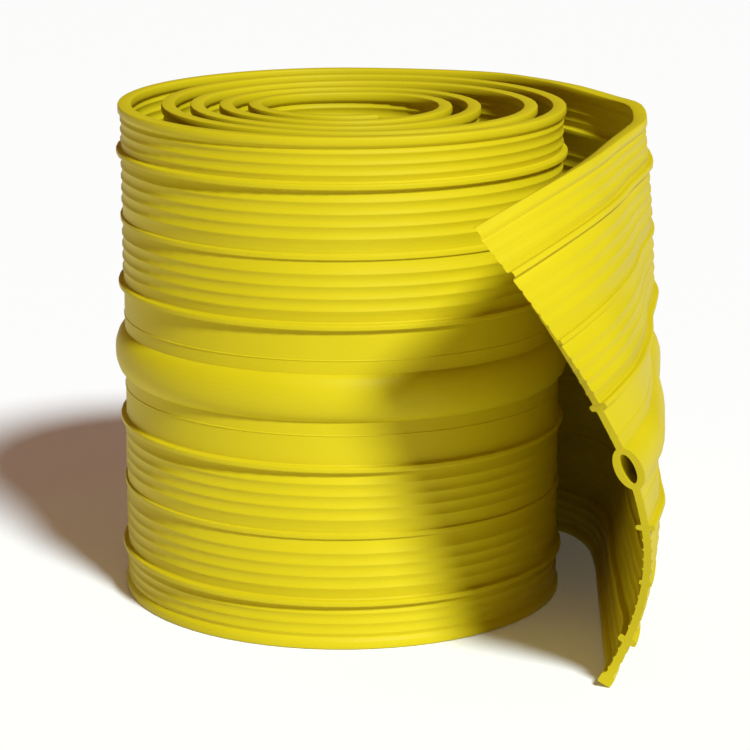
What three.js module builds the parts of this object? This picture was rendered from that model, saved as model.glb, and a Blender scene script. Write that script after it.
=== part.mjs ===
// Coil of centre-bulb PVC waterstop, standing on its edge with the free end pulled open.
// Millimetres, +Z up. The strip is one extruded piece: its section is drawn flat and then
// extruded along the coil, from the inner end outward to the cut at the free end.
import * as THREE from 'three';

// Section of the strip
const stripWidth = 320;
const webThickness = 4.5;
const edgeBeadThickness = 8.8;
const edgeBeadHeight = 8.5;
const edgeBeadTaper = 2.5;
const ribHeight = 4.4;
const ribThickness = 4.5;
const ribDraft = 0.6;
const innerRibOffset = 44;
const outerRibOffset = 127.5;
const bulbDepth = 17;
const bulbLength = 31;
const bulbWall = 4.6;
const bulbSteps = 4;

// Winding, given at quarter turns. Going outward the strip turns clockwise seen from above,
// through front, left, back and right.
const turnClearance = 1.6;
const boreRadii = { right: 50, front: 57, left: 57, back: 43 };
const firstTurnRight = 63.5;
const looseness = [
  { front: 2, left: 0, back: 4.5, right: 0 },
  { front: 2, left: 0, back: 9.5, right: 18 },
  { front: 1.5, left: 0, back: 13, right: 0 },
  { front: 1.5, left: 9.5, back: 10.5 },
];
const innerEndAzimuth = 290;
const stepsPerTurn = 18;

// Free end. Plan places and the bow are shares of the coil's outer radius, heights are shares of
// the strip's width. Foot is the lower edge on the floor, head the upper edge, and bow the
// bulge between them.
const freeEnd = [
  { foot: [0.306, 0.985], head: [0.651, 0.864, 1.000], bow: 0.000 },
  { foot: [0.560, 0.931], head: [0.840, 0.682, 1.000], bow: 0.000 },
  { foot: [0.805, 0.836], head: [0.985, 0.461, 1.000], bow: 0.010 },
  { foot: [0.985, 0.663], head: [1.110, 0.247, 0.978], bow: 0.033 },
  { foot: [1.096, 0.440], head: [1.193, 0.027, 0.979], bow: 0.064 },
  { foot: [1.148, 0.188], head: [1.205, -0.204, 0.983], bow: 0.095 },
  { foot: [1.156, -0.083], head: [1.134, -0.447, 0.980], bow: 0.111 },
  { foot: [1.162, -0.371], head: [1.033, -0.700, 0.975], bow: 0.138 },
  { foot: [1.160, -0.666], head: [0.915, -0.957, 0.967], bow: 0.174 },
  { foot: [1.130, -0.951], head: [0.779, -1.210, 0.947], bow: 0.217 },
  { foot: [1.067, -1.191], head: [0.619, -1.439, 0.920], bow: 0.292 },
  { foot: [0.954, -1.339], head: [0.448, -1.637, 0.879], bow: 0.421 },
];
// How far the bulge leans towards the foot: 0 puts it halfway up
const bowLean = 0.15;

const sideOrder = ['front', 'left', 'back', 'right'];
const turnPitch = bulbDepth + turnClearance;

// Radius of the strip's middle surface at each quarter turn, from the bore outward
function quarterRadii() {
  const radii = [boreRadii.right, boreRadii.front, boreRadii.left, boreRadii.back, firstTurnRight];
  for (const turn of looseness) {
    for (const side of sideOrder) {
      if (side in turn) {
        radii.push(radii[radii.length - sideOrder.length] + turnPitch + turn[side]);
      }
    }
  }
  return radii;
}

// Points of the coil in plan, from the inner end outward, with a smooth radius between quarters
function coilPlan(radii) {
  const radiusCurve = new THREE.SplineCurve(radii.map((radius, quarter) => new THREE.Vector2(quarter, radius)));
  const lastQuarter = radii.length - 1;
  const firstQuarter = (360 - innerEndAzimuth) / 90;
  const steps = Math.round((lastQuarter - firstQuarter) * stepsPerTurn / 4);
  const points = [];
  for (let step = 0; step <= steps; step += 1) {
    const quarter = THREE.MathUtils.lerp(firstQuarter, lastQuarter, step / steps);
    const radius = radiusCurve.getPoint(quarter / lastQuarter).y;
    const azimuth = -quarter * Math.PI / 2;
    points.push(new THREE.Vector2(radius * Math.cos(azimuth), radius * Math.sin(azimuth)));
  }
  return points;
}

// The strip's middle surface: two edge curves with a bow between them
function middleSurface() {
  const radii = quarterRadii();
  const coilRadius = radii[radii.length - 1];
  const feet = [];
  const heads = [];
  const bows = [];
  for (const point of coilPlan(radii)) {
    feet.push(new THREE.Vector3(point.x, point.y, 0));
    heads.push(new THREE.Vector3(point.x, point.y, stripWidth));
    bows.push(0);
  }
  for (const row of freeEnd) {
    feet.push(new THREE.Vector3(row.foot[0] * coilRadius, row.foot[1] * coilRadius, 0));
    heads.push(new THREE.Vector3(row.head[0] * coilRadius, row.head[1] * coilRadius, row.head[2] * stripWidth));
    bows.push(row.bow * coilRadius);
  }
  const footCurve = new THREE.CatmullRomCurve3(feet);
  const headCurve = new THREE.CatmullRomCurve3(heads);
  const bowCurve = new THREE.SplineCurve(bows.map((bow, index) => new THREE.Vector2(index, bow)));
  const small = 1e-4;

  function chordPoint(along, share) {
    return footCurve.getPoint(along).lerp(headCurve.getPoint(along), share);
  }

  function chordNormal(along, share) {
    const travel = chordPoint(Math.min(along + small, 1), share);
    travel.sub(chordPoint(Math.max(along - small, 0), share));
    const rise = headCurve.getPoint(along).sub(footCurve.getPoint(along));
    return rise.cross(travel).normalize();
  }

  // Share runs from 0 at the foot to 1 at the head
  function bowedPoint(along, share) {
    const bulge = 4 * share * (1 - share) * (1 + bowLean * (1 - 2 * share));
    const point = chordPoint(along, share);
    return point.addScaledVector(chordNormal(along, share), bulge * bowCurve.getPoint(along).y);
  }

  function bowedNormal(along, share) {
    const travel = bowedPoint(Math.min(along + small, 1), share);
    travel.sub(bowedPoint(Math.max(along - small, 0), share));
    const rise = bowedPoint(along, share + small).sub(bowedPoint(along, share - small));
    return rise.cross(travel).normalize();
  }

  // Where the strip leans, the corner of its lower bead would dip below the floor by this much
  function footDip(along) {
    return edgeBeadThickness / 2 * Math.abs(bowedNormal(along, 0).z);
  }

  return { bowedPoint, bowedNormal, footDip, steps: feet.length - 1 };
}

// The section's upper half above the bulb: height from the middle, half thickness there
function faceLevels() {
  const web = webThickness / 2;
  const half = stripWidth / 2;
  const levels = [];
  for (const centre of [innerRibOffset, outerRibOffset]) {
    levels.push([centre - ribThickness / 2 - ribDraft, web], [centre - ribThickness / 2, web + ribHeight]);
    levels.push([centre + ribThickness / 2, web + ribHeight], [centre + ribThickness / 2 + ribDraft, web]);
  }
  levels.push([half - edgeBeadHeight - edgeBeadTaper, web]);
  levels.push([half - edgeBeadHeight, edgeBeadThickness / 2], [half, edgeBeadThickness / 2]);
  return levels;
}

// The whole section from the lower edge up, with the oval bulb and its bore in the middle
function stripSection() {
  const upper = faceLevels();
  const lower = upper.map(([height, reach]) => [-height, reach]).reverse();
  const bulb = [];
  const bore = [];
  const rootAngle = Math.acos(webThickness / bulbDepth);
  for (let step = 0; step <= bulbSteps; step += 1) {
    const outer = THREE.MathUtils.lerp(-rootAngle, rootAngle, step / bulbSteps);
    const inner = ((step + 0.5) / (bulbSteps + 1) - 0.5) * Math.PI;
    bulb.push([bulbLength / 2 * Math.sin(outer), bulbDepth / 2 * Math.cos(outer)]);
    bore.push([(bulbLength / 2 - bulbWall) * Math.sin(inner), (bulbDepth / 2 - bulbWall) * Math.cos(inner)]);
  }
  return { levels: [...lower, ...bulb, ...upper], bore, bulbStart: lower.length };
}

// One closed solid: a ring of corners at every step along the strip, joined by its faces
function extrudedStrip() {
  const surface = middleSurface();
  const section = stripSection();
  const levelCount = section.levels.length;
  const boreCount = section.bore.length;
  const ringSize = 2 * (levelCount + boreCount);
  const positions = [];
  for (let step = 0; step <= surface.steps; step += 1) {
    const along = step / surface.steps;
    const lift = surface.footDip(along);
    for (const outline of [section.levels, section.bore]) {
      for (const face of [1, -1]) {
        for (const [height, reach] of outline) {
          const share = height / stripWidth + 0.5;
          const point = surface.bowedPoint(along, share);
          point.addScaledVector(surface.bowedNormal(along, share), face * reach);
          positions.push(point.x, point.y, point.z + lift * (1 - share));
        }
      }
    }
  }

  // Corner numbers within a ring, on the outer face (0) and the inner face (1)
  const wall = (face, level) => face * levelCount + level;
  const hole = (face, level) => 2 * levelCount + face * boreCount + level;

  // Both faces split their quads along the same diagonal, so a thin twisted web keeps its thickness
  const faces = [];
  const quad = (a, b, c, d) => faces.push(a, b, c, a, c, d);
  for (let step = 0; step < surface.steps; step += 1) {
    const near = step * ringSize;
    const far = near + ringSize;
    for (let level = 0; level < levelCount - 1; level += 1) {
      quad(near + wall(0, level), near + wall(0, level + 1), far + wall(0, level + 1), far + wall(0, level));
      quad(near + wall(1, level), far + wall(1, level), far + wall(1, level + 1), near + wall(1, level + 1));
    }
    for (let level = 0; level < boreCount - 1; level += 1) {
      quad(near + hole(0, level), far + hole(0, level), far + hole(0, level + 1), near + hole(0, level + 1));
      quad(near + hole(1, level), near + hole(1, level + 1), far + hole(1, level + 1), far + hole(1, level));
    }
    const top = levelCount - 1;
    const boreTop = boreCount - 1;
    quad(near + wall(0, top), near + wall(1, top), far + wall(1, top), far + wall(0, top));
    quad(near + wall(1, 0), near + wall(0, 0), far + wall(0, 0), far + wall(1, 0));
    quad(near + hole(1, boreTop), near + hole(0, boreTop), far + hole(0, boreTop), far + hole(1, boreTop));
    quad(near + hole(0, 0), near + hole(1, 0), far + hole(1, 0), far + hole(0, 0));
  }

  // The two cut ends, filled level by level so that the fill follows the bowed section
  const endQuads = [];
  for (let level = 0; level < levelCount - 1; level += 1) {
    const inBulb = level - section.bulbStart;
    if (inBulb >= 0 && inBulb < bulbSteps) {
      endQuads.push([wall(0, level), wall(0, level + 1), hole(0, inBulb + 1), hole(0, inBulb)]);
      endQuads.push([wall(1, level + 1), wall(1, level), hole(1, inBulb), hole(1, inBulb + 1)]);
    } else {
      endQuads.push([wall(0, level), wall(0, level + 1), wall(1, level + 1), wall(1, level)]);
    }
  }
  const bulbEnd = section.bulbStart + bulbSteps;
  endQuads.push([wall(1, section.bulbStart), wall(0, section.bulbStart), hole(0, 0), hole(1, 0)]);
  endQuads.push([wall(0, bulbEnd), wall(1, bulbEnd), hole(1, bulbSteps), hole(0, bulbSteps)]);
  const last = surface.steps * ringSize;
  for (const [a, b, c, d] of endQuads) {
    quad(d, c, b, a);
    quad(last + a, last + b, last + c, last + d);
  }

  const geometry = new THREE.BufferGeometry();
  geometry.setAttribute('position', new THREE.Float32BufferAttribute(positions, 3));
  geometry.setIndex(faces);
  geometry.computeVertexNormals();
  return geometry;
}

const pvc = new THREE.MeshStandardMaterial({ color: 0xe8d626, roughness: 0.42, metalness: 0 });
const strip = new THREE.Mesh(extrudedStrip(), pvc);
strip.name = 'waterstop_strip';

// Origin at the middle of the footprint, on the floor
const model = new THREE.Group();
model.add(strip);
const box = new THREE.Box3().setFromObject(model);
strip.position.set(-(box.min.x + box.max.x) / 2, -(box.min.y + box.max.y) / 2, -box.min.z);

export default model;
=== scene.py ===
import math

import bpy
import numpy as np
from mathutils import Matrix, Vector


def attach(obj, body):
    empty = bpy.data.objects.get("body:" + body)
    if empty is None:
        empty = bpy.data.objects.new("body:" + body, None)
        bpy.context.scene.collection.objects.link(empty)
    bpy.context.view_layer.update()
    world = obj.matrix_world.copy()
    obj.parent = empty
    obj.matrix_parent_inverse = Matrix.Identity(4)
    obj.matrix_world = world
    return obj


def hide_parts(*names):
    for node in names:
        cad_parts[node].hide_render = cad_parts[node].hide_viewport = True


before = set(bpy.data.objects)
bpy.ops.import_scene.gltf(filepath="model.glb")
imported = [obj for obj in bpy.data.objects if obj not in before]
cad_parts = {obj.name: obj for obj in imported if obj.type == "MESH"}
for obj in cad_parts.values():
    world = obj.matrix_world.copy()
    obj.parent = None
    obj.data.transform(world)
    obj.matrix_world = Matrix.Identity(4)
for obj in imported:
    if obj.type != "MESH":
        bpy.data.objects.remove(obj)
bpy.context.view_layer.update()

# Section of the strip, in metres: the solid's, with lower beads and ribs as the photo shows them
STRIP_WIDTH = 0.320
WEB = 0.0045
BEAD_THICKNESS = 0.0088
BEAD_HEIGHT = 0.0050
BEAD_TAPER = 0.0022
BEAD_CHAMFER = (0.0006, 0.0004)
BEAD_ROUND = 0.0012
BEAD_CORNER_DEGREES = (0, 45, 90)
BIG_RIB_HEIGHT = 0.0036
BIG_RIB_THICKNESS = 0.0040
INNER_RIB = 0.0445
OUTER_RIB = 0.1302
BULB_DEPTH = 0.017
BULB_LENGTH = 0.031
BULB_WALL = 0.0046
BULB_STEPS = 12
BULB_FLARE = 0.004

# Form of a rib: reach and height of its softened root as shares of its height, and its crown's radius
# as the smaller of two shares
RIB_ROOT_REACH = 0.22
RIB_ROOT_HEIGHT = 0.2
RIB_CROWN_OF_HALF = 0.75
RIB_CROWN_OF_HEIGHT = 0.5
RIB_CROWN_DEGREES = (180, 130, 90, 50, 0)

# Relief that the solid leaves out: medium ribs, grip lines and hair lines, by height from the middle
MEDIUM_RIB = 0.0873
MEDIUM_RIB_HEIGHT = 0.0016
MEDIUM_RIB_THICKNESS = 0.0034
GRIP_LINES = (0.0541, 0.0617, 0.0693, 0.0769, 0.0983, 0.1058, 0.1133, 0.1208, 0.1370, 0.1435, 0.1500)
GRIP_LINE_HEIGHT = 0.0008
GRIP_LINE_THICKNESS = 0.0028
GRIP_LINE_CREST = 0.2
HAIR_LINE = 0.0235
HAIR_LINE_HEIGHT = 0.0004
HAIR_LINE_THICKNESS = 0.0012

# Winding, as radii of the middle surface at each quarter turn from the bore outward
TURN_CLEARANCE = 0.0016
TURN_PITCH = BULB_DEPTH + TURN_CLEARANCE
FIRST_RADII = (0.050, 0.057, 0.057, 0.043, 0.0635)
LOOSENESS = (0.002, 0, 0.0045, 0, 0.002, 0, 0.0095, 0.018, 0.0015, 0, 0.013, 0, 0.0015, 0.0095, 0.0105)
INNER_END_AZIMUTH = 290
CAD_STEPS_PER_TURN = 18

# Free end, close to the solid's: foot place, head place, head height as a share of the strip's width,
# and bow; places and bow are shares of the coil's outer radius
FREE_END = (
    (0.306, 0.985, 0.651, 0.864, 1.000, 0.000),
    (0.560, 0.931, 0.840, 0.682, 1.000, 0.000),
    (0.805, 0.836, 0.985, 0.461, 1.000, 0.010),
    (1.007, 0.671, 1.128, 0.276, 0.991, 0.036),
    (1.094, 0.436, 1.208, 0.071, 0.990, 0.084),
    (1.112, 0.174, 1.206, -0.164, 0.980, 0.114),
    (1.101, -0.103, 1.144, -0.417, 0.981, 0.129),
    (1.085, -0.387, 1.055, -0.683, 0.979, 0.149),
    (1.069, -0.678, 0.959, -0.954, 0.973, 0.193),
    (1.052, -0.949, 0.843, -1.218, 0.965, 0.236),
    (1.037, -1.181, 0.679, -1.457, 0.942, 0.304),
    (0.996, -1.354, 0.452, -1.663, 0.896, 0.389),
)

# How much fuller the bow is near the foot, and how many of the coil's steps lead into the curve
BOW_LEAN = 0.09
LEAD_IN = 3

# Where the coil's axis stands in the part's frame
COIL_AXIS = Vector((-0.02856, 0.05710, 0))

# Sweep: length of a step along the strip, how finely its length is measured, the small move that
# directions are read over, and the angle between faces from which their shared edge is sharp
STEP_LENGTH = 0.0131
LENGTH_SAMPLES = 4000
SMALL_MOVE = 1e-3
SHARP_ANGLE = math.radians(38)

# Slant of the knife cut, where 1 is 45 degrees: it starts at a share of the strip's width and is full
# one stretch higher
CUT_SLANT = 0.9
SLANT_START = 0.6
SLANT_STRETCH = 0.25

# Camera, measured from the coil's axis
PHOTO_WIDTH = 750
FOCAL_PIXELS = 2836.4
SENSOR = 36
CAMERA_PLACE = Vector((0, -1.80357, 0.59253))
CAMERA_PITCH = math.radians(14.097)
CAMERA_YAW = math.radians(0.634)
CAMERA_ROLL = math.radians(0.124)

# Light: a soft key from the right of the camera, and an even sky
KEY_AZIMUTH = math.radians(28)
KEY_HEIGHT = math.radians(43.5)
KEY_SPREAD = math.radians(10)
KEY_STRENGTH = 4.15
KEY_COLOUR = (0.91, 1, 1.04)
SKY_COLOUR = (1, 0.52, 0.32, 1)
SKY_STRENGTH = 0.2
FLOOR_GLOW = 0.04
FLOOR_COLOUR = (0.93, 0.94, 0.94, 1)
FLOOR_GLOW_COLOUR = (1, 1, 1, 1)
FLOOR_ROUGHNESS = 0.9
FLOOR_SPECULAR = 0.1
FLOOR_HALF = 12
FLOOR_GAP = 0.0002

# Yellow PVC: its two close shades, and the drawn lines and clouds in its surface
DARKER_YELLOW = (0.560, 0.456, 0.0055, 1)
LIGHTER_YELLOW = (0.605, 0.497, 0.008, 1)
SHADE_RANGE = (0.3, 0.7)
PVC_ROUGHNESS = 0.5
PVC_SPECULAR = 0.12
PVC_IOR = 1.5
DRAWN_STRETCH = (3, 700, 1)
DRAWN_DETAIL = 3
DRAWN_STRENGTH = 0.12
DRAWN_DEPTH = 0.0006
CLOUD_SCALE = 9
CLOUD_DETAIL = 2


def unit(vectors):
    return vectors / np.linalg.norm(vectors, axis=-1, keepdims=True)


def quarter_radii():
    radii = list(FIRST_RADII)
    for looseness in LOOSENESS:
        radii.append(radii[-4] + TURN_PITCH + looseness)
    return np.array(radii)


RADII = quarter_radii()
COIL_RADIUS = RADII[-1]
LAST_QUARTER = len(RADII) - 1
FIRST_QUARTER = (360 - INNER_END_AZIMUTH) / 90
COIL_STEPS = round((LAST_QUARTER - FIRST_QUARTER) * CAD_STEPS_PER_TURN / 4)


def even_curve(values, places):
    """Value at whole or part numbers along a list, smooth through the values."""
    values, last = np.array(values, float), len(values) - 1
    left = np.clip(np.floor(places).astype(int), 0, last - 1)
    share = places - left
    before, start = values[np.maximum(left - 1, 0)], values[left]
    end, after = values[left + 1], values[np.minimum(left + 2, last)]
    v0, v1 = (end - before) / 2, (after - start) / 2
    cubic = (2 * start - 2 * end + v0 + v1) * share**3
    return cubic + (3 * end - 3 * start - 2 * v0 - v1) * share**2 + v0 * share + start


def coil_plan(steps):
    """Plan places on the coil at step numbers counted from the inner end."""
    quarter = FIRST_QUARTER + (LAST_QUARTER - FIRST_QUARTER) * steps / COIL_STEPS
    azimuth = -quarter * math.pi / 2
    radius = even_curve(RADII, quarter)
    return np.stack([radius * np.cos(azimuth), radius * np.sin(azimuth)], -1)


def smooth_curve(points, steps):
    """Curve through points, read at step numbers, with its speed set by how far apart they are."""
    points = np.array(points, float)
    before, after = 2 * points[0] - points[1], 2 * points[-1] - points[-2]
    points = np.concatenate([[before], points, [after]])
    left = np.clip(np.floor(steps).astype(int), 0, len(points) - 4)
    p0, p1, p2, p3 = (points[left + k] for k in range(4))
    gaps = (p1 - p0, p2 - p1, p3 - p2)
    d0, d1, d2 = (np.linalg.norm(gap, axis=-1, keepdims=True) ** 0.5 for gap in gaps)
    t1 = ((p1 - p0) / d0 - (p2 - p0) / (d0 + d1) + (p2 - p1) / d1) * d1
    t2 = ((p2 - p1) / d1 - (p3 - p1) / (d1 + d2) + (p3 - p2) / d2) * d1
    s = (steps - left)[..., None]
    return (2 * p1 - 2 * p2 + t1 + t2) * s**3 + (3 * p2 - 3 * p1 - 2 * t1 - t2) * s**2 + t1 * s + p1


# Control points of the two edges: the coil's last steps, then the free end
LEAD = coil_plan(np.arange(COIL_STEPS - LEAD_IN, COIL_STEPS + 1, dtype=float))
FEET = [(x, y, 0) for x, y in LEAD]
HEADS = [(x, y, STRIP_WIDTH) for x, y in LEAD]
BOWS = [0] * len(LEAD)
for foot_x, foot_y, head_x, head_y, head_height, bow_depth in FREE_END:
    FEET.append((foot_x * COIL_RADIUS, foot_y * COIL_RADIUS, 0))
    HEADS.append((head_x * COIL_RADIUS, head_y * COIL_RADIUS, head_height * STRIP_WIDTH))
    BOWS.append(bow_depth * COIL_RADIUS)
TOTAL_STEPS = COIL_STEPS + len(FREE_END)


def edges_and_bow(steps):
    """Lower edge, upper edge and bow at step numbers along the strip."""
    on_coil = coil_plan(np.minimum(steps, COIL_STEPS))
    foot = np.concatenate([on_coil, np.zeros_like(on_coil[..., :1])], -1)
    head = foot + (0, 0, STRIP_WIDTH)
    bow = np.zeros_like(steps)
    free = steps > COIL_STEPS - 1
    late = steps[free] - (COIL_STEPS - LEAD_IN)
    ease = np.clip(steps[free] - (COIL_STEPS - 1), 0, 1)[:, None]
    foot[free] += ease * (smooth_curve(FEET, late) - foot[free])
    head[free] += ease * (smooth_curve(HEADS, late) - head[free])
    bow[free] = even_curve(BOWS, late)
    return foot, head, bow


def middle_points(steps, shares):
    """Middle surface on a grid: steps along the strip, shares from the foot to the head."""
    def chord(at):
        foot, head, _ = edges_and_bow(np.clip(at, 0, TOTAL_STEPS))
        return foot[:, None] + (head - foot)[:, None] * shares[None, :, None]

    foot, head, bow = edges_and_bow(steps)
    travel = chord(steps + SMALL_MOVE) - chord(steps - SMALL_MOVE)
    normal = unit(np.cross((head - foot)[:, None], travel))
    bulge = 4 * shares * (1 - shares) * (1 + BOW_LEAN * (1 - 2 * shares))
    return chord(steps) + normal * bow[:, None, None] * bulge[None, :, None]


def middle_normals(steps, shares):
    """Directions out of the middle surface on the same grid."""
    ahead = np.clip(steps + SMALL_MOVE, 0, TOTAL_STEPS)
    back = np.clip(steps - SMALL_MOVE, 0, TOTAL_STEPS)
    travel = middle_points(ahead, shares) - middle_points(back, shares)
    rise = middle_points(steps, shares + SMALL_MOVE) - middle_points(steps, shares - SMALL_MOVE)
    return unit(np.cross(rise, travel))


def rib(centre, height, thickness):
    """Face points over a rib with a rounded top and softened roots."""
    half, web = thickness / 2, WEB / 2
    crown = min(half * RIB_CROWN_OF_HALF, height * RIB_CROWN_OF_HEIGHT)
    reach, root = height * RIB_ROOT_REACH, web + height * RIB_ROOT_HEIGHT
    points = [(centre - half - reach, web), (centre - half, root)]
    for degrees in RIB_CROWN_DEGREES:
        angle = math.radians(degrees)
        side = math.copysign(half - crown, math.cos(angle))
        rise = web + height - crown + crown * math.sin(angle)
        points.append((centre + side + crown * math.cos(angle), rise))
    return points + [(centre + half, root), (centre + half + reach, web)]


def grip_line(centre, height, thickness):
    """Face points over a low line with a narrow crest."""
    half, web = thickness / 2, WEB / 2
    crest = [(centre + side * half * GRIP_LINE_CREST, web + height) for side in (-1, 1)]
    return [(centre - half, web)] + crest + [(centre + half, web)]


def edge_bead():
    """Face points over the bead at the strip's edge, with a tapered root and a rounded corner."""
    half, bead, start = STRIP_WIDTH / 2, BEAD_THICKNESS / 2, STRIP_WIDTH / 2 - BEAD_HEIGHT
    along, deep = BEAD_CHAMFER
    points = [(start - BEAD_TAPER, WEB / 2), (start - deep, bead - deep), (start + along, bead)]
    for degrees in BEAD_CORNER_DEGREES:
        angle = math.radians(degrees)
        height = half - BEAD_ROUND + BEAD_ROUND * math.sin(angle)
        points.append((height, bead - BEAD_ROUND + BEAD_ROUND * math.cos(angle)))
    return points


def upper_face():
    """Face points from above the bulb to the upper edge: height from the middle, half thickness."""
    parts = [grip_line(HAIR_LINE, HAIR_LINE_HEIGHT, HAIR_LINE_THICKNESS)]
    parts += [grip_line(c, GRIP_LINE_HEIGHT, GRIP_LINE_THICKNESS) for c in GRIP_LINES]
    parts += [rib(c, BIG_RIB_HEIGHT, BIG_RIB_THICKNESS) for c in (INNER_RIB, OUTER_RIB)]
    parts += [rib(MEDIUM_RIB, MEDIUM_RIB_HEIGHT, MEDIUM_RIB_THICKNESS), edge_bead()]
    return [point for part in sorted(parts) for point in part]


def strip_section():
    """The whole face from the lower edge up, the bore, and the level where the bulb starts."""
    upper = upper_face()
    lower = [(-height, reach) for height, reach in reversed(upper)]
    bulb, bore = [], []
    bore_half, bore_reach = BULB_LENGTH / 2 - BULB_WALL, BULB_DEPTH / 2 - BULB_WALL
    root = math.acos(WEB / BULB_DEPTH)
    for step in range(BULB_STEPS + 1):
        outer = root * (2 * step / BULB_STEPS - 1)
        inner = ((step + 0.5) / (BULB_STEPS + 1) - 0.5) * math.pi
        bulb.append((BULB_LENGTH / 2 * math.sin(outer), BULB_DEPTH / 2 * math.cos(outer)))
        bore.append((bore_half * math.sin(inner), bore_reach * math.cos(inner)))
    start = (-BULB_LENGTH / 2 - BULB_FLARE, WEB / 2)
    flared = [start] + bulb + [(-start[0], start[1])]
    return lower + flared + upper, bore, len(lower) + 1


def along_steps():
    """Step numbers along the strip, evenly spaced by length."""
    fine = np.linspace(0, TOTAL_STEPS, LENGTH_SAMPLES)
    middle = middle_points(fine, np.array([0.5]))[:, 0]
    length = np.concatenate([[0], np.cumsum(np.linalg.norm(np.diff(middle, axis=0), axis=1))])
    count = math.ceil(length[-1] / STEP_LENGTH)
    places = np.linspace(0, length[-1], count + 1)
    return np.interp(places, length, fine), places


def foot_lift(steps):
    """How far the lower bead's corner would dip below the floor where the strip leans."""
    return BEAD_THICKNESS / 2 * np.abs(middle_normals(steps, np.array([0.0]))[:, 0, 2])


def cut_slant(share):
    """How far the inner face is pulled back at the cut end, as a share of its half thickness."""
    return CUT_SLANT * np.clip((share - SLANT_START) / SLANT_STRETCH, 0, 1)


def strip_rings(steps, outlines):
    """Rings of points at the steps, one for each face of each outline, and the points' heights."""
    lift = foot_lift(steps)
    rings, heights = [], []
    for outline in outlines:
        height = np.array([point[0] for point in outline])
        reach = np.array([point[1] for point in outline])
        share = height / STRIP_WIDTH + 0.5
        middle, normal = middle_points(steps, share), middle_normals(steps, share)
        middle[..., 2] += lift[:, None] * (1 - share)
        slant = (cut_slant(share) * reach)[:, None]
        travel = unit(middle[-1] - middle[-2])
        for face in (1, -1):
            ring = middle + face * reach[None, :, None] * normal
            ring[-1] += (face - 1) * slant * travel
            rings.append(ring)
            heights.append(height)
    return np.concatenate(rings, axis=1), np.concatenate(heights)


def strip_faces(step_count, level_count, bore_count, bulb_start):
    """Faces around the strip and its bore, and over its two ends."""
    ring_size = 2 * (level_count + bore_count)

    def wall(face, level):
        return face * level_count + level

    def hole(face, level):
        return 2 * level_count + face * bore_count + level

    sides = []
    for level in range(level_count - 1):
        sides.append((wall(0, level), wall(0, level + 1)))
        sides.append((wall(1, level + 1), wall(1, level)))
    for level in range(bore_count - 1):
        sides.append((hole(0, level + 1), hole(0, level)))
        sides.append((hole(1, level), hole(1, level + 1)))
    sides.append((wall(0, level_count - 1), wall(1, level_count - 1)))
    sides.append((wall(1, 0), wall(0, 0)))
    sides.append((hole(1, bore_count - 1), hole(0, bore_count - 1)))
    sides.append((hole(0, 0), hole(1, 0)))
    sides = np.array(sides)
    near = np.arange(step_count - 1)[:, None, None] * ring_size + sides[None]
    far = near + ring_size
    quads = np.concatenate([near, far[..., ::-1]], axis=-1).reshape(-1, 4)

    ends = []
    for level in range(level_count - 1):
        inside = level - bulb_start
        if 0 <= inside < BULB_STEPS:
            ends.append((wall(0, level), wall(0, level + 1), hole(0, inside + 1), hole(0, inside)))
            ends.append((wall(1, level + 1), wall(1, level), hole(1, inside), hole(1, inside + 1)))
        else:
            ends.append((wall(0, level), wall(0, level + 1), wall(1, level + 1), wall(1, level)))
    top = bulb_start + BULB_STEPS
    ends.append((wall(1, bulb_start), wall(0, bulb_start), hole(0, 0), hole(1, 0)))
    ends.append((wall(0, top), wall(1, top), hole(1, BULB_STEPS), hole(0, BULB_STEPS)))
    ends = np.array(ends)
    return np.concatenate([quads, ends[:, ::-1], ends + (step_count - 1) * ring_size])


def strip_mesh():
    """The strip's mesh, with places on the flat strip, in metres, as its UV layer."""
    levels, bore, bulb_start = strip_section()
    steps, places = along_steps()
    points, heights = strip_rings(steps, (levels, bore))
    faces = strip_faces(len(steps), len(levels), len(bore), bulb_start)
    mesh = bpy.data.meshes.new("waterstop_strip_relief")
    mesh.from_pydata((points.reshape(-1, 3) + np.array(COIL_AXIS)).tolist(), [], faces.tolist())
    flat = np.stack([np.repeat(places, len(heights)), np.tile(heights, len(steps))], -1)
    corners = np.zeros(len(mesh.loops), np.int32)
    mesh.loops.foreach_get("vertex_index", corners)
    layer = mesh.uv_layers.new(name="strip_flat")
    layer.data.foreach_set("uv", flat[corners].astype(np.float32).ravel())
    mesh.polygons.foreach_set("use_smooth", np.ones(len(mesh.polygons), bool))
    mesh.set_sharp_from_angle(angle=SHARP_ANGLE)
    mesh.update()
    return mesh


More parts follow.
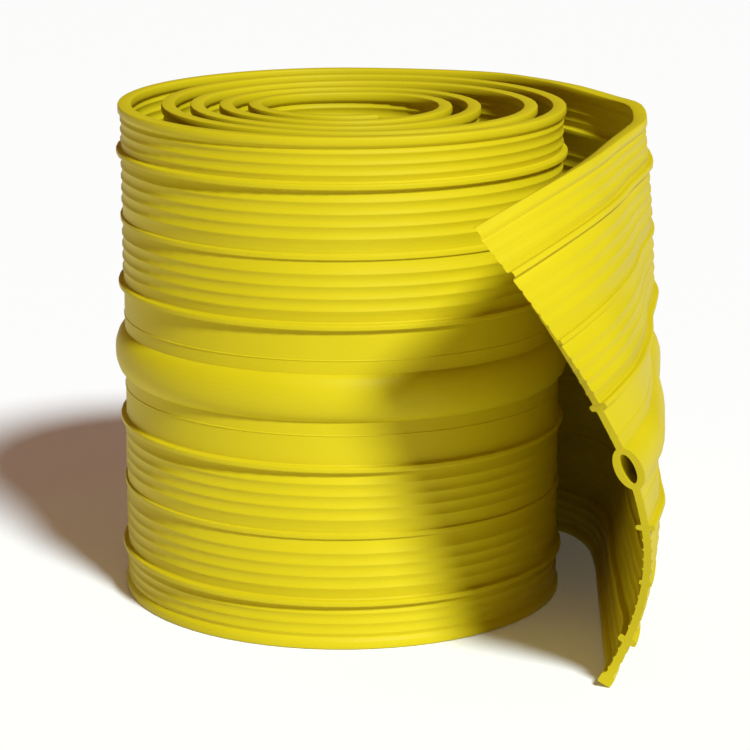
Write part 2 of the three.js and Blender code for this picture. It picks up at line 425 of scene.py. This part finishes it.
def pvc_material():
    """Satin yellow PVC with faint drawn lines along the strip."""
    material = bpy.data.materials.new("yellow_pvc")
    material.use_nodes = True
    nodes, links = material.node_tree.nodes, material.node_tree.links
    shader = nodes["Principled BSDF"]
    shader.inputs["Roughness"].default_value = PVC_ROUGHNESS
    shader.inputs["Specular IOR Level"].default_value = PVC_SPECULAR
    shader.inputs["IOR"].default_value = PVC_IOR
    place = nodes.new("ShaderNodeUVMap")
    place.uv_map = "strip_flat"
    stretch = nodes.new("ShaderNodeMapping")
    stretch.inputs["Scale"].default_value = DRAWN_STRETCH
    links.new(place.outputs["UV"], stretch.inputs["Vector"])
    drawn = nodes.new("ShaderNodeTexNoise")
    drawn.inputs["Scale"].default_value = 1
    drawn.inputs["Detail"].default_value = DRAWN_DETAIL
    links.new(stretch.outputs["Vector"], drawn.inputs["Vector"])
    bump = nodes.new("ShaderNodeBump")
    bump.inputs["Strength"].default_value = DRAWN_STRENGTH
    bump.inputs["Distance"].default_value = DRAWN_DEPTH
    links.new(drawn.outputs["Fac"], bump.inputs["Height"])
    links.new(bump.outputs["Normal"], shader.inputs["Normal"])
    cloud = nodes.new("ShaderNodeTexNoise")
    cloud.inputs["Scale"].default_value = CLOUD_SCALE
    cloud.inputs["Detail"].default_value = CLOUD_DETAIL
    links.new(place.outputs["UV"], cloud.inputs["Vector"])
    ramp = nodes.new("ShaderNodeValToRGB")
    shades = zip(ramp.color_ramp.elements, SHADE_RANGE, (DARKER_YELLOW, LIGHTER_YELLOW))
    for element, position, colour in shades:
        element.position = position
        element.color = colour
    links.new(cloud.outputs["Fac"], ramp.inputs["Fac"])
    links.new(ramp.outputs["Color"], shader.inputs["Base Color"])
    return material


def build_strip():
    strip = bpy.data.objects.new("strip_with_ribs", strip_mesh())
    bpy.context.scene.collection.objects.link(strip)
    strip.data.materials.append(pvc_material())
    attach(strip, "root")
    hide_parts("waterstop_strip")


def build_floor():
    corners = [(x * FLOOR_HALF, y * FLOOR_HALF, 0) for x, y in ((-1, -1), (1, -1), (1, 1), (-1, 1))]
    mesh = bpy.data.meshes.new("floor")
    mesh.from_pydata(corners, [], [(0, 1, 2, 3)])
    floor = bpy.data.objects.new("floor", mesh)
    floor.location.z = -FLOOR_GAP
    bpy.context.scene.collection.objects.link(floor)
    material = bpy.data.materials.new("pale_floor")
    material.use_nodes = True
    shader = material.node_tree.nodes["Principled BSDF"]
    shader.inputs["Base Color"].default_value = FLOOR_COLOUR
    shader.inputs["Roughness"].default_value = FLOOR_ROUGHNESS
    shader.inputs["Specular IOR Level"].default_value = FLOOR_SPECULAR
    shader.inputs["Emission Color"].default_value = FLOOR_GLOW_COLOUR
    shader.inputs["Emission Strength"].default_value = FLOOR_GLOW
    mesh.materials.append(material)


def build_light():
    world = bpy.context.scene.world or bpy.data.worlds.new("studio")
    bpy.context.scene.world = world
    world.use_nodes = True
    sky = world.node_tree.nodes["Background"]
    sky.inputs["Color"].default_value = SKY_COLOUR
    sky.inputs["Strength"].default_value = SKY_STRENGTH
    data = bpy.data.lights.new("key", "SUN")
    data.energy = KEY_STRENGTH
    data.angle = KEY_SPREAD
    data.color = KEY_COLOUR
    key = bpy.data.objects.new("key", data)
    bpy.context.scene.collection.objects.link(key)
    towards = Vector((
        math.sin(KEY_AZIMUTH) * math.cos(KEY_HEIGHT),
        -math.cos(KEY_AZIMUTH) * math.cos(KEY_HEIGHT),
        math.sin(KEY_HEIGHT),
    ))
    key.rotation_euler = towards.to_track_quat("Z", "Y").to_euler()


def build_camera():
    forward = Vector((
        math.sin(CAMERA_YAW) * math.cos(CAMERA_PITCH),
        math.cos(CAMERA_YAW) * math.cos(CAMERA_PITCH),
        -math.sin(CAMERA_PITCH),
    ))
    level = Vector((math.cos(CAMERA_YAW), -math.sin(CAMERA_YAW), 0))
    upright = level.cross(forward)
    right = math.cos(CAMERA_ROLL) * level + math.sin(CAMERA_ROLL) * upright
    up = math.cos(CAMERA_ROLL) * upright - math.sin(CAMERA_ROLL) * level
    data = bpy.data.cameras.new("photo_camera")
    data.sensor_width = SENSOR
    data.lens = FOCAL_PIXELS / PHOTO_WIDTH * SENSOR
    camera = bpy.data.objects.new("photo_camera", data)
    bpy.context.scene.collection.objects.link(camera)
    turn = Matrix((right, up, -forward)).transposed()
    camera.matrix_world = Matrix.Translation(CAMERA_PLACE + COIL_AXIS) @ turn.to_4x4()
    bpy.context.scene.camera = camera


build_strip()
build_floor()
build_light()
build_camera()
bpy.context.scene.view_settings.view_transform = "Standard"
